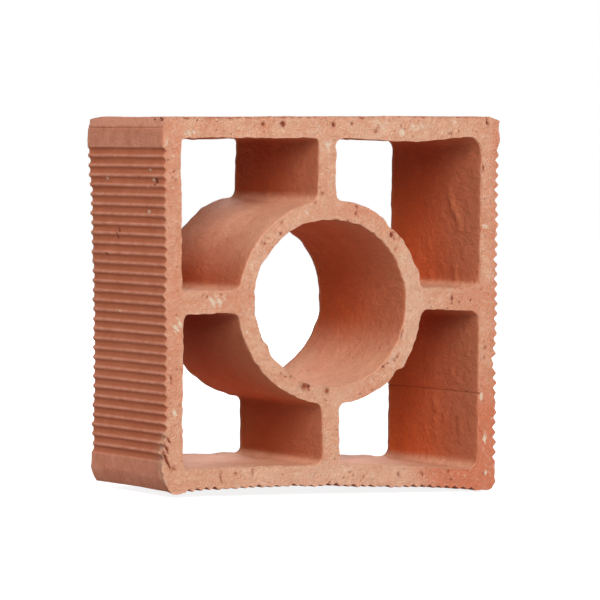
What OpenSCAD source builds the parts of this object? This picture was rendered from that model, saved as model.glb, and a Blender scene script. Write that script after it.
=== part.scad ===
// Ceramic breeze block: one piece of clay, pressed through a die, cut off square and fired.
// A square frame of four ridged walls holds a round ring on four webs, and air passes through
// the ring and through the four cells around it. The block stands on one of its ridged sides,
// with the cut faces at front and back. Width is along X, depth along Y and height along Z.

/* [Block] */
// Width of the block over the ridge crests
block_w = 200; // [180:1:240]
// Height of the block over the ridge crests
block_h = 200; // [180:1:240]
// Depth of the block between its two cut faces
block_d = 100; // [50:1:160]
// Bevel on the four long outer edges, measured along each side
edge_bevel = 4.5; // [1:0.5:8]
// Rise of the bottom wall at its middle, where drying and firing bowed it
bed_bow = 3.3; // [0.5:0.1:5]

/* [Walls and webs] */
// Thickness of an outer wall, from the ridge crests to the cell
wall_t = 11; // [8:0.5:14]
// Thickness of a web between the ring and a wall
web_t = 10.5; // [7:0.5:13]
// Fillet radius at the cell corners that lie on a wall
cell_fillet = 4.5; // [2:0.5:7]
// Fillet radius where a web runs into the ring
ring_fillet = 4; // [2:0.5:6]

/* [Ring] */
// Diameter of the round opening through the ring
bore_d = 90; // [60:1:98]
// Thickness of the ring
ring_t = 9.5; // [7:0.5:12]

/* [Ridges] */
// Number of grooves on the left side, and on the right
side_grooves = 32; // [16:1:36]
// Number of grooves on the top, and on the bottom
bed_grooves = 34; // [16:1:36]
// Width of the plain band at each end of the left and right sides, bevel included
side_band = 15.5; // [10:0.5:24]
// Width of the plain band at each end of the top and bottom, bevel included
bed_band = 12; // [9:0.5:24]
// Depth of a groove below the ridge crests
groove_depth = 2.2; // [1:0.1:3]
// Width of the flat bottom of a groove
groove_flat = 1.5; // [0.8:0.1:1.8]
// Width of a ridge's rounded crest
crest_w = 1; // [0.6:0.1:1.6]
// Drop of the rounded crest at its two shoulders
crest_drop = 0.3; // [0.1:0.1:0.8]

/* [Hidden] */
$fn = 96;
clay_colour = [0.76, 0.47, 0.36];
ring_r = bore_d / 2 + ring_t;
cell_w = block_w / 2 - wall_t - web_t / 2;
cell_h = block_h / 2 - wall_t - web_t / 2;

// The bow is an arc over the bottom's ridges; the plain bands beside them stay level
bow_span = block_w - 2 * bed_band;
bow_r = pow(bow_span, 2) / (8 * bed_bow) + bed_bow / 2;
bow_facets = 1440;

// Centre of the fillet between the upright web's right face and the ring
fillet_x = web_t / 2 + ring_fillet;
fillet_y = sqrt(pow(ring_r + ring_fillet, 2) - pow(fillet_x, 2));

// One groove with the falling half of the crest before it and the rising half of the crest after it:
// each point is a place along the side and a depth below the crests
function groove_points(pitch) = [
    [-pitch / 2, 0],
    [(crest_w - pitch) / 2, crest_drop],
    [-groove_flat / 2, groove_depth],
    [groove_flat / 2, groove_depth],
    [(pitch - crest_w) / 2, crest_drop],
];

// One side of the block: plain band, row of grooves, plain band
function side_points(length, band, grooves) =
    let (pitch = (length - 2 * band) / grooves) [
        [edge_bevel - length / 2, 0],
        for (i = [0 : grooves - 1], p = groove_points(pitch)) [(i - (grooves - 1) / 2) * pitch + p.x, p.y],
        [length / 2 - band, 0],
        [length / 2 - edge_bevel, 0],
    ];

// Points of one side, set at its distance from the middle of the block and facing along normal
function placed(points, normal, reach) = [
    for (p = points) p.x * [-normal.y, normal.x] + (reach - p.y) * normal
];

// Height of the bow above the level bands, at a distance from the middle of the block
function bow(x) = max(0, sqrt(pow(bow_r, 2) - pow(x, 2)) - bow_r + bed_bow);

// The outer outline, counter-clockwise from the bottom, with a bevel between each side and the next
module outline() {
    bed = side_points(block_w, bed_band, bed_grooves);
    bowed_bed = [for (p = bed) [p.x, p.y + bow(p.x)]];
    side = side_points(block_h, side_band, side_grooves);
    polygon([
        each placed(bowed_bed, [0, -1], block_h / 2),
        each placed(side, [1, 0], block_w / 2),
        each placed(bed, [0, 1], block_h / 2),
        each placed(side, [-1, 0], block_w / 2),
    ]);
}

// Clay left in a square corner of a cell, with the corner at the origin
module corner_clay() {
    difference() {
        square(cell_fillet);
        translate([cell_fillet, cell_fillet]) circle(r = cell_fillet);
    }
}

// Clay left between the upright web and the ring
module ring_clay() {
    difference() {
        polygon([[0, 0], [fillet_x, fillet_y], [0, fillet_y]]);
        translate([fillet_x, fillet_y]) circle(r = ring_fillet);
    }
}

// The opening of the upper right cell
module cell() {
    difference() {
        translate([web_t / 2, web_t / 2]) square([cell_w, cell_h]);
        circle(r = ring_r);
        translate([web_t / 2 + cell_w, web_t / 2 + cell_h]) rotate(180) corner_clay();
        translate([web_t / 2 + cell_w, web_t / 2]) rotate(90) corner_clay();
        translate([web_t / 2, web_t / 2 + cell_h]) rotate(-90) corner_clay();
        ring_clay();
        mirror([1, -1]) ring_clay();
    }
}

// The opening of the lower right cell, whose floor follows the bow of the bottom wall
module lower_cell() {
    floor_y = wall_t - block_h / 2;
    difference() {
        mirror([0, 1]) cell();
        translate([0, floor_y + bed_bow - bow_r]) circle(r = bow_r, $fn = bow_facets);
        translate([web_t / 2, floor_y + bow(web_t / 2 + cell_fillet)]) corner_clay();
    }
}

// The section that the die gives the clay
module section() {
    difference() {
        outline();
        circle(d = bore_d);
        for (flip = [0, 1]) mirror([flip, 0]) {
            cell();
            lower_cell();
        }
    }
}

module breeze_block() {
    color(clay_colour)
        translate([0, block_d / 2, block_h / 2])
            rotate([90, 0, 0])
                linear_extrude(height = block_d) section();
}

breeze_block();
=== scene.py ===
import math

import bpy
import numpy as np
from mathutils import Matrix, Vector
from mathutils.geometry import delaunay_2d_cdt


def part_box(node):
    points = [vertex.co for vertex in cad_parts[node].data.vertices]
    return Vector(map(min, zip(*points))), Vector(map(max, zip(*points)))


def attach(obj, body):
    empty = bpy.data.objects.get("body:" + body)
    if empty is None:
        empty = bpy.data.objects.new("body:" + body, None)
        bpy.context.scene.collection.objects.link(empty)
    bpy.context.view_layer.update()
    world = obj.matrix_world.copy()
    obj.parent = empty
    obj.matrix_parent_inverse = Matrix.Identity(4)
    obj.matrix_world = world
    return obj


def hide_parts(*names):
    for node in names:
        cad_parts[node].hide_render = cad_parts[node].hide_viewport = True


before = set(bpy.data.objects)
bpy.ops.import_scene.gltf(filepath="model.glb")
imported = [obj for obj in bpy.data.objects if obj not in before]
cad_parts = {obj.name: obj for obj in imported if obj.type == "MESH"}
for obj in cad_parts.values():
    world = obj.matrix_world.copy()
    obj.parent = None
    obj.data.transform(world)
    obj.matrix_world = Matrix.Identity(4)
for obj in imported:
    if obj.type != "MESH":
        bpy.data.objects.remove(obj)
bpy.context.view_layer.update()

# Sizes of the block in millimetres: x and z from its middle, y from front to back.
# Tables of marks give z above its bed.
MM = 0.001
BLOCK_LOW, BLOCK_HIGH = (np.array(corner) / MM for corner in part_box("breeze_block"))
WIDTH, DEPTH, HEIGHT = BLOCK_HIGH - BLOCK_LOW
LEFT_WALL = 11.4
RIGHT_WALL = 11.0
TOP_WALL = 11.5
BOTTOM_WALL = 11.5
BORE_R = 45.0
RING_R = 54.5
RING_FILLET = 4.0
# Each cell: its side in x and in z, half of its upright web, half of its level web, corner radii from the
# level web round to the upright web, and radius between the upright web and the ring
UPPER_RIGHT_CELL = (1, 1, 4.6, 8.6, 4.5, 7.0, 3.5, 4.0)
UPPER_LEFT_CELL = (-1, 1, 5.3, 6.7, 2.5, 2.0, 3.0, 8.0)
LOWER_LEFT_CELL = (-1, -1, 5.3, 5.0, 5.0, 3.0, 5.0, 5.0)
LOWER_RIGHT_CELL = (1, -1, 4.8, 4.0, 4.5, 6.5, 3.5, 4.0)
CELLS = (UPPER_RIGHT_CELL, UPPER_LEFT_CELL, LOWER_LEFT_CELL, LOWER_RIGHT_CELL)
# Line that the die scored along the right wall of the lower right cell
SCORE_Z = 52.0
SCORE_HALF = 0.6
SCORE_DEPTH = 0.3

# Ridged sides: plain bands at their ends, bevel included, and grooves between them
SIDE_BAND = 15.5
BED_BAND = 12.0
SIDE_GROOVES = 32
BED_GROOVES = 34
# One groove going down from a crest: share of the pitch, depth along the block, depth at the front cut, and
# wear
# with painted light and shade: palest on the crest and the flank that rises to it, darkest just under the
# crest
GROOVE_PROFILE = np.array([
    (0, 0, 0, 1), (0.07, 0.03, 0.1, 1), (0.14, 0.18, 0.25, 0.7), (0.23, 0.7, 0.7, 0.1), (0.31, 1.1, 1.1, 0),
    (0.39, 1.25, 1.6, 0.05), (0.55, 1.25, 2, 0.16), (0.73, 1.2, 1.2, 0.18), (0.82, 0.95, 0.8, 0.25),
    (0.91, 0.4, 0.4, 0.7), (0.96, 0.08, 0.15, 1),
])
# Bevels of the four long edges: along the side before the corner, along the side after it, and bulge
BOTTOM_RIGHT_BEVEL = (4.0, 4.5, 0.6)
TOP_RIGHT_BEVEL = (2.6, 6.0, 0.3)
TOP_LEFT_BEVEL = (2.2, 5.2, 0.2)
BOTTOM_LEFT_BEVEL = (7.5, 3.6, 0.2)
# Line along the left side under its top bevel: distance below the bevel, half width, depth
BAND_LINE = (0.5, 0.35, 0.4)
# Wear of the plain bands, and wear with painted light and shade of the bevels from the bottom right one round
# to
# the bottom left one: the upper bevels, which face up, paler than the lower ones
PLAIN_WEAR = 0.8
BEVEL_WEAR_AND_LIGHT = (0.8, 1.0, 1.5, 0.75)

# Camera: where the photograph was taken from, with its frame 600 pixels wide
FRAME_PX = 600.0
FOCAL_PX = 5000.0
SENSOR_MM = 36.0
YAW = math.radians(26.7)
PITCH = math.radians(1.94)
ROLL = math.radians(-0.81)
DISTANCE = 2.727
FAR_CLIP = 200.0
BLOCK_CENTRE_PX = (290.8, 300.2)

# Studio, in metres and watts. Each lamp: name, place, size, power
FLOOR_REACH = 30.0
FLOOR_COLOUR = (0.52, 0.52, 0.52, 1.0)
# How bright the floor shows itself to the camera near the block, and the distances at which it turns to white
FLOOR_GLOW = 0.87
FLOOR_GLOW_FROM = 0.4
FLOOR_GLOW_TO = 2.0
LAMP_AIM = (0.0, 0.0, 0.1)
LAMPS = (
    ("key", (-1.45, -3.55, 1.85), 2.25, 178.0),
    ("back", (1.0, 2.1, 1.0), 1.4, 44.0),
    ("back left", (-1.3, 2.2, 0.8), 1.2, 2.0),
    ("left high", (-1.7, -0.2, 2.0), 0.8, 7.0),
    ("left low", (-2.2, -0.9, 0.5), 1.2, 4.0),
)

# What the wire did at the two cuts, and how far along the block each mark of it reaches.
# How open the front ends of the grooves are after it dragged clay into them: bottom, right, top, left
FRONT_OPEN = (0.62, 0.8, 0.2, 0.95)
FRONT_FILL_REACH = 2.4
MOST_FILL = 0.95
BACK_OPEN = 0.9
BACK_FILL_REACH = 2.6
# Where the grooves take their front depth, and where they are softened at the back
FRONT_DEPTH_REACH = 3.0
BACK_SOFT_REACH = 8.0
# Lip that it pushed into the openings where it left the clay
BACK_LIP = 1.0
BACK_LIP_REACH = 3.0
ARRIS_ROUND = 0.2
ARRIS_REACH = 0.4
FRONT_WAVER_REACH = 5.0
BACK_WAVER_REACH = 7.0
GRAIN_REACH = 6.0

# How far firing and drying pulled the block out of shape
TOP_SPREAD = 1.1
RIGHT_TALLER_ABOVE = 0.5
LEFT_DROP = -1.5
RIGHT_DROP = 3.5
LEFT_BOW = 2.4
LEFT_TUCK = 0.8
# Taper of the left side towards the front: its share at the foot, and the shares of the height where it grows
LEFT_TAPER = 1.7
LEFT_TAPER_FOOT = 0.4
LEFT_TAPER_RISE = (0.08, 0.4)
# Sag of the upper right cell's roof: its share at the back, its middle and half width in x, and where it
# starts and ends in z
ROOF_SAG = 2.2
ROOF_SAG_BACK = 0.2
ROOF_SAG_PLACE = (47.0, 22.0)
ROOF_SAG_START = (66.0, 86.0)
ROOF_SAG_END = (90.0, 99.0)
LEAN = math.radians(0.7)
BED_BOW = 2.4
BED_BOW_FADE = (14.0, 60.0)
FRONT_SKEW = -2.0
BACK_SKEW = 2.5
RING_OFFSET = (-0.8, 0.5)
RING_OFFSET_REACH = 75.0
TOP_WEB_SHIFT_FRONT = -2.6
TOP_WEB_SHIFT_BACK = -3.7
TOP_WEB_REACH = 14.0
TOP_WEB_START = (46.0, 62.0)

# How the openings and cut faces are coloured: smeared cut clay, and painted light and shade.
# Painted light and shade: how much paler (over 1) or darker the walls that face left are deep inside each
# cell
# and the bore: foot, top
DEEP_PAINTED_TONES = ((1.15, 0.8), (0.8, 0.8), (0.65, 0.65), (1.25, 1.05), (0.95, 0.9))
# Distances from the front over which the painted shade and tones deep inside the openings grow
DEEP_FROM_FRONT = (10.0, 85.0)
# Painted light on the undersides: how much lighter they are, and how much less painted deep shade they take
UNDERSIDE_PAINTED_LIGHT = 0.25
UNDERSIDE_LESS_DEEP_SHADE = 0.35
# Painted light that pales the openings near their front, and how far cut clay was smeared over the edges
MOUTH_PAINTED_LIGHT = 0.1
MOUTH_PAINTED_LIGHT_REACH = 14.0
CUT_SMEAR = 0.7
# Depth at which the painted shade in a pit is darkest
FULL_PIT = 0.9

# Spacing of the surface points
LOOP_STEP = 1.4
BEVEL_POINTS = 4
# Plain bands: close points beside the first bevel, start of the even ones, and gap beside the grooves
BAND_CLOSE = (0.0, 0.3, 0.6, 0.9)
BAND_EVEN = 1.3
BAND_GAP = 0.4
# Stations along the block: distances from the front cut, fine ones after them, distances from the back cut
FRONT_STATIONS = (0.0, 0.35, 0.9, 1.7, 2.7, 3.9, 5.4, 7.2)
FINE_FROM = 9.0
FINE_STEP = 1.9
WRINKLED_TO = 62.0
OUTER_STEP = 10.0
HOLE_STEP = 8.0
BACK_STATIONS = (7.0, 4.4, 2.4, 1.0, 0.35, 0.0)
# Grid over the cut faces: its spacing, and row spacing, shake and distance from the edges as shares of it
FRONT_GRAIN_STEP = 0.8
BACK_GRAIN_STEP = 1.7
GRAIN_ROW = 0.87
GRAIN_SHAKE = 0.2
GRAIN_CLEAR = 0.55
MERGE_DISTANCE = 1e-7
PAIRS_AT_ONCE = 4_000_000
SHARP_ANGLE = math.radians(48)

# Random waves: height, length on each axis, seed
FACE_WAVES = ((0.45, 38, 11), (0.13, 3.6, 12), (0.1, 1.6, 13))
SKIN_WAVES = ((0.35, (30, 48, 30), 21), (0.06, (1.7, 70, 1.7), 22))
FRONT_EDGE_WAVES = ((0.28, 8, 23), (0.45, 2.8, 24))
BACK_EDGE_WAVES = ((0.35, 9, 25), (0.3, 4, 26))
RIDGE_WAVES = ((0.2, (4, 26, 4), 27), (0.1, (2.4, 5, 2.4), 28))
HOLE_WAVES = ((0.1, (3.2, 4.4, 4), 29),)
FRONT_FILL_WAVES = ((0.4, 6, 31),)
BACK_FILL_WAVES = ((0.25, 6, 32),)
CORNER_FLUSH_WAVES = ((0.12, 9, 41),)
MARGIN_FLUSH_WAVES = ((2.0, 7, 42),)
PIT_RIM_X_WAVES = ((0.5, 1.8, 51), (0.25, 0.8, 53))
PIT_RIM_Z_WAVES = ((0.5, 1.8, 52), (0.25, 0.8, 54))
# Torn clay lies in ripples across its own slant, which are short one way and long the other
TORN_WAVES = ((1.7, 1, 33),)
TORN_RIPPLE = (1.5, 5.0)

# Marks left by the wire, the die and handling.
# Swellings (+) and chips (-) of an edge: x, z, radius, height, how far they reach in from the cut
EDGE_MARKS = np.array([
    (16, 153.5, 9, 1.2, 8), (-44, 122, 6.5, -1.1, 10), (-45, 110, 6, -0.9, 10), (-93, 0, 5, 1.2, 2.5),
    (27, 148, 3.5, 0.7, 6), (35.5, 142, 3, -1.2, 5), (53.5, 116, 3, 1.6, 5), (51, 122.5, 3, -0.8, 5),
    (42, 67.5, 3, 1.5, 5), (40.5, 62, 2.5, -1.2, 5), (-46.5, 109.5, 2.5, 1.3, 4), (-38.5, 76.5, 2.4, 1.4, 4),
    (-36, 71.5, 2, -0.8, 3), (-40, 127, 4, 0.7, 4), (-100, 27, 4, 1.6, 3.5), (-100, 21, 4, 2.6, 4.5),
    (-100, 14.5, 4, 2.4, 4), (-100, 104, 4.5, 1.6, 3), (-100, 86, 3, 1, 2), (100, 68.5, 2.8, -2, 9),
])
# Swellings and chips of the edges at the back cut, in the same way
BACK_MARKS = np.array([
    (-24, 150, 15, 2.4, 45), (-42, 139, 5, 0.8, 12), (-30, 149, 3, 0.9, 6), (-99, 200, 6, -1.5, 9),
])
# Pits and slits in the front cut face: x, z, half width, depth, half length, lean in degrees
FACE_PITS = np.array([
    (-22.5, 151.4, 1, 1.3, 1.2, 0), (-29.2, 143.2, 0.6, 0.8, 0.6, 0), (-30.1, 137.4, 0.7, 0.8, 0.7, 0),
    (-39.6, 132, 0.6, 0.8, 0.8, 20), (-44, 136.6, 0.5, 0.7, 0.5, 0), (-52.7, 120.8, 0.5, 1, 2.2, 5),
    (-9, 153.5, 0.7, 0.9, 0.8, 0), (15.1, 151.2, 0.8, 0.9, 0.9, 0), (15.1, 147.8, 0.7, 1, 0.8, 0),
    (36.3, 136.3, 0.9, 1.4, 1.2, 0), (42.2, 84.4, 0.7, 1.5, 3.3, -8), (31.5, 66.3, 1, 1.3, 1.1, 0),
    (-13.3, 55.5, 0.7, 1.4, 2.3, 4), (-15.5, 55.5, 2.2, 0.9, 2, 0), (-2.2, 52.7, 1, 1.1, 1.6, 0),
    (-27.2, 61.1, 0.6, 0.8, 0.6, 0), (-28.9, 196, 1.1, 1.6, 1.4, 30), (3, 195.5, 0.9, 1.5, 1.1, 0),
    (-40.6, 196, 0.8, 1, 1.2, 0), (12.7, 196.6, 0.6, 1, 0.6, 0), (27.1, 194.1, 0.5, 0.8, 0.5, 0),
    (92.8, 196.5, 0.5, 1.2, 2, 10), (90.4, 172.3, 0.5, 1.1, 2.2, 12), (92, 71, 0.5, 0.8, 0.5, 0),
    (-96, 60.3, 0.5, 1, 1.4, 15), (-73.8, 103.4, 0.6, 0.8, 0.6, 0), (-64.9, 105, 0.6, 0.8, 0.6, 0),
    (73.1, 102.5, 0.6, 1, 1.8, 0), (77.3, 100.2, 0.5, 0.8, 0.6, 0), (-66, 6.1, 0.5, 0.9, 2.2, 6),
    (-47.1, 8.5, 0.5, 0.9, 2.2, -5), (71.5, 9.5, 0.6, 0.8, 0.7, 0), (55, 7, 0.6, 0.9, 0.7, 0),
    (40.4, 7, 0.6, 0.9, 0.9, 0), (73.4, 5.2, 0.5, 0.8, 0.5, 0), (39.8, 71.5, 0.4, 0.9, 1.6, -30),
    (38.5, 69, 0.4, 0.8, 1.2, 40), (34.5, 67.5, 0.4, 0.7, 0.5, 0), (-98.6, 23, 0.6, 1.5, 3, 30),
    (-99.4, 18.5, 0.7, 1.7, 3, 25), (-97.4, 14.5, 0.55, 1.5, 3.2, 28), (-98.4, 16.2, 0.5, 1.3, 2.6, 28),
    (-94.4, 12.6, 0.9, 0.6, 1.6, 20), (-97, 27.5, 0.5, 1.1, 2, 35),
])
# Small pits scattered over both cut faces: least half width and spread, power of their spread, depth as a
# share of the half width, range of half lengths in half widths, and greatest lean in degrees
RANDOM_PITS = 110
PIT_LEAST = 0.3
PIT_SPREAD = 0.4
PIT_POWER = 0.4
PIT_DEPTH = 0.9
PIT_STRETCH = (1.0, 2.0)
PIT_LEAN = 40
# Close points over each pit of the front face: points on a side, reach in half widths, gap to the edges
PIT_STEPS = 5
PIT_REACH = 1.3
PIT_CLEAR = 0.3
# Cream lime patches in the front cut face: x, z, half width, half height, strength
LIME_PATCHES = np.array([
    (-67.9, 101.2, 4, 2.6, 1), (-92.6, 88.5, 3, 3.4, 0.9), (-93.8, 42.4, 0.9, 2.6, 1.4),
    (-94, 52, 1.5, 1.5, 0.5), (-97.6, 187.7, 1.6, 2.2, 0.8), (-95.7, 178.5, 1.2, 1.4, 0.6),
    (-93.6, 162.5, 1, 1.4, 0.5), (-82.3, 191.8, 4, 1.6, 0.6), (-32, 196.8, 1.4, 1.4, 0.7),
    (30, 195.6, 5, 1.8, 0.7), (41, 193.5, 1.8, 2, 0.6), (50, 194.7, 4, 1.6, 0.8),
    (52, 192, 1.4, 1.4, 0.7), (71.6, 197.4, 5, 1, 0.6), (-50, 84.6, 1.2, 1.2, 0.5),
    (-47.6, 78.2, 1.6, 2.6, 0.5), (42.8, 123.2, 2, 2.4, 0.5), (91.7, 141, 1.6, 1.6, 0.7),
    (90.6, 51, 1, 3, 1.3), (93, 27, 0.7, 2.6, 1.4), (94, 9.8, 0.6, 1.8, 1.4),
    (-14.3, 149, 0.8, 0.9, 1.3), (-1, 184, 3, 3.5, 0.4),
])
# Broad paler areas and redder patches of the front cut face, in the same way
PALE_AREAS = np.array([
    (49, 100, 11, 42, 0.6), (-5, 7, 75, 8, 0.5), (0, 52, 24, 9, 0.3), (0, 150, 30, 9, 0.2),
    (45, 191, 34, 8, 0.4),
])
FLUSH_PATCHES = np.array([
    (85, 103, 13, 12, 0.6), (-92, 22, 9, 22, 0.15), (22, 151, 20, 7, 0.5), (25, 52, 18, 7, 0.45),
    (-62, 103, 16, 9, 0.4), (94, 165, 6, 40, 0.25),
])
# How far behind the front cut the patches reach
PATCH_DEPTH = 4.0
# Red flush round the lower right corner and fainter along the right edge, and redder, darker clay along the
# left edge
FLUSH_CENTRE = (96.0, 6.0)
FLUSH_REACH = (44.0, 58.0)
FLUSH_FADE = (0.6, 1.25)
RIGHT_FLUSH = 0.55
RIGHT_FLUSH_BAND = (9.0, 1.0)
LEFT_REDDENING = 0.4
LEFT_REDDENING_BAND = (14.0, 8.0)
LEFT_REDDENING_RISE = (20.0, 70.0)
# Pits in the left side: distance from the front, z, radius, depth
SIDE_PITS = np.array([
    (15, 166, 1.3, 1.1), (67, 140, 0.8, 0.8), (68, 136.5, 0.8, 0.8), (24, 149.5, 0.7, 0.4),
    (11, 100, 1, 0.6), (56, 118, 0.8, 0.5), (22, 46, 1.4, 0.8), (83, 75, 0.9, 0.5),
])
# Pale specks and dark nicks on the left side, drawn out along the block: distance from the front, z, radius
LEFT_SPECKS = ((76, 168.2, 1.3), (21.5, 173.5, 1.1), (23.5, 151.3, 1.4), (17, 168.3, 1.2), (61, 97, 1.1))
LEFT_NICKS = (
    (7, 200.2, 1), (9, 201.2, 0.7), (16, 200.4, 0.7), (13.5, 168.6, 1.1), (13, 167.2, 1.1),
    (14.5, 165.8, 0.8), (62.5, 141.4, 0.6), (61.5, 140.2, 0.7), (63.3, 138.8, 0.6), (63.3, 137.6, 0.7),
    (63.4, 136.4, 0.6), (77, 127.6, 0.9),
)
# How far the spots are drawn out, the share of the radius that is solid, and where the left side starts in x
SPOT_SHORTEN = 0.5
SPOT_CORE = 0.4
SPOT_SIDE_X = -94.0
# Torn clay that the wire dragged over the left edge: z of its middle, half height, reach from the front.
# It takes the colour of cut clay between two amounts
TORN_EDGE = (18.0, 13.0, 5.0)
TORN_SHOWS = (0.1, 0.35)
# Raised wrinkles on the right walls of the cells: distance from the front, z, half width, half height, height
WALL_WRINKLES = np.array([
    (35, 159, 1.9, 2.1, 1.3), (31, 152, 1.9, 2.4, 1.6), (26, 147, 1.8, 2.1, 1.4), (23, 140, 1.8, 2.7, 1.1),
    (15, 153, 1.9, 3, 0.7), (43, 146, 1.9, 2.1, 0.8), (51, 166, 2, 2, 0.8), (57, 131, 2, 2.4, 1),
    (28, 119, 2, 2, 1.3), (26, 113, 1.9, 2, 1.1), (55, 114, 1.9, 2, 1.4), (18, 127, 1.9, 2.4, 0.7),
    (47, 44, 1.9, 2.4, 1.6), (48, 36, 1.9, 2, 1.1), (46, 28, 2, 2, 1.1), (20, 33, 2, 3, 0.8),
    (30, 62, 2, 2.4, 0.8), (38, 84, 2, 2, 0.8), (59, 68, 2, 2.4, 0.8), (13, 74, 1.9, 2.4, 0.7),
    (33, 155, 1.9, 2, 0.8), (29, 149, 1.9, 2, 1), (24, 143.5, 1.9, 2, 0.8), (44, 40, 1.9, 2, 1.1),
    (50, 47, 1.9, 2, 0.8), (36, 37, 1.9, 2, 0.8), (58, 30, 1.9, 2, 0.8), (24, 58, 1.9, 2, 0.6),
])

rng = np.random.default_rng(7772)


# Smooth random fields and steps
def lattice_value(cell, seed):
    """A fixed random number from -1 to 1 for each whole-number lattice point: its coordinates, hashed."""
    code = cell[..., 0] * 374761393 + cell[..., 1] * 668265263 + cell[..., 2] * 1440662683 + seed * 362437
    code = (code ^ (code >> 13)) * 1274126177
    return ((code ^ (code >> 16)) & 0xFFFF) / 32767.5 - 1.0


def cloud(points, length, seed):
    """Smooth random value at 3-D points: lattice values a length apart, blended by a cubic step per axis."""
    scaled = points / np.broadcast_to(np.asarray(length, float), (3,))
    cell = np.floor(scaled).astype(np.int64)
    share = scaled - cell
    share = share * share * (3.0 - 2.0 * share)
    total = np.zeros(points.shape[:-1])
    for corner in np.ndindex(2, 2, 2):
        pick = np.array(corner)
        weight = np.prod(np.where(pick == 1, share, 1.0 - share), axis=-1)
        total += weight * lattice_value(cell + pick, seed)
    return total


def waves(points, fields):
    """Sum of random fields at 3-D points, each with its own height, length and seed."""
    return sum(height * cloud(points, length, seed) for height, length, seed in fields)


def ramp(value, start, end):
    """Smooth step from 0 at start to 1 at end."""
    share = np.clip((value - start) / (end - start), 0.0, 1.0)
    return share * share * (3.0 - 2.0 * share)


def fade(distance, reach):
    """1 at a cut, dying away exponentially with the stations' distance from it, as a column."""
    return np.exp(-distance / reach)[:, None]


# Section of the block, as closed loops of (x, z) points, counter-clockwise seen from the front
def ridge_row(length, band, grooves, first_bevel, last_bevel, upward):
    """One side from bevel to bevel: plain band, grooves, plain band.

    The groove profile repeats at the pitch; a side that is walked upward takes it turned round. Returns the
    places along the side, the two groove depths at each and its wear with painted light and shade.
    """
    profile = GROOVE_PROFILE
    if upward:
        profile = np.concatenate([profile[:1], profile[:0:-1] * (-1, 1, 1, 1) + (1, 0, 0, 0)])
    zone = length - 2 * band
    along = (np.arange(grooves)[:, None] + profile[:, 0]).ravel() * zone / grooves - zone / 2
    even = np.arange(BAND_EVEN, band - first_bevel - BAND_GAP, LOOP_STEP)
    first = np.concatenate([BAND_CLOSE, even]) + first_bevel - length / 2
    last = length / 2 - last_bevel - np.arange(0.0, band - last_bevel - BAND_GAP, LOOP_STEP)[::-1]
    places = np.concatenate([first, along, [zone / 2], last])
    grooved = slice(len(first), len(first) + len(along))
    depths = np.zeros((len(places), 2))
    depths[grooved] = np.tile(profile[:, 1:3], (grooves, 1))
    wear_and_light = np.full(len(places), PLAIN_WEAR)
    wear_and_light[grooved] = np.tile(profile[:, 3], grooves)
    wear_and_light[grooved.stop] = 1.0
    return places, depths, wear_and_light


def outer_loop():
    """Outline over the ridge crests: four sides turned about the middle, joined by quadratic bevel curves.

    Returns the points, the direction that each one faces, its groove depth along the block and at the front
    cut, how open its groove's front end is, and its wear with painted light and shade: high on the crests,
    the flanks that face up and the upper bevels, lower on the bands and lower bevels, least just under the
    crests.
    """
    bed = (WIDTH, HEIGHT, BED_BAND, BED_GROOVES)
    upright = (HEIGHT, WIDTH, SIDE_BAND, SIDE_GROOVES)
    normals = np.array([(0.0, -1.0), (1.0, 0.0), (0.0, 1.0), (-1.0, 0.0)])
    bevels = (BOTTOM_LEFT_BEVEL, BOTTOM_RIGHT_BEVEL, TOP_RIGHT_BEVEL, TOP_LEFT_BEVEL, BOTTOM_LEFT_BEVEL)
    turn = np.linspace(0, 1, BEVEL_POINTS + 2)[1:-1, None]
    parts = []
    for side, normal in enumerate(normals):
        length, across, band, grooves = (bed, upright)[side % 2]
        tangent = np.array([-normal[1], normal[0]])
        before, after, bulge = bevels[side + 1]
        along, depths, wear_and_light = ridge_row(length, band, grooves, bevels[side][1], before, tangent[1] > 0)
        corner = length / 2 * tangent + across / 2 * normal
        start, end = corner - before * tangent, corner - after * normal
        control = (start + end) / 2 + bulge * (corner - (start + end) / 2)
        curve = (1 - turn) ** 2 * start + 2 * turn * (1 - turn) * control + turn ** 2 * end
        parts.append((
            np.concatenate([along[:, None] * tangent + across / 2 * normal, curve]),
            np.concatenate([np.tile(normal, (len(along), 1)), (1 - turn) * normal + turn * tangent]),
            np.concatenate([depths, np.zeros((BEVEL_POINTS, 2))]),
            np.full(len(along) + BEVEL_POINTS, FRONT_OPEN[side]),
            np.concatenate([wear_and_light, np.full(BEVEL_POINTS, BEVEL_WEAR_AND_LIGHT[side])]),
        ))
    points, facing, depths, front_open, worn_and_lit = (np.concatenate(part) for part in zip(*parts))
    return points, facing / np.linalg.norm(facing, axis=1, keepdims=True), depths, front_open, worn_and_lit


def arc(centre, radius, start, end):
    """Points on an arc from one angle to another, in degrees, without its last point."""
    count = max(3, int(abs(math.radians(end - start)) * radius / LOOP_STEP))
    angle = np.radians(np.linspace(start, end, count, endpoint=False))
    return np.array(centre) + radius * np.stack([np.cos(angle), np.sin(angle)], axis=1)


def line(start, end):
    """Points on a straight stretch, without its last point."""
    count = max(2, int(math.dist(start, end) / LOOP_STEP))
    return np.array(start) + np.linspace(0, 1, count, endpoint=False)[:, None] * np.subtract(end, start)


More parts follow.
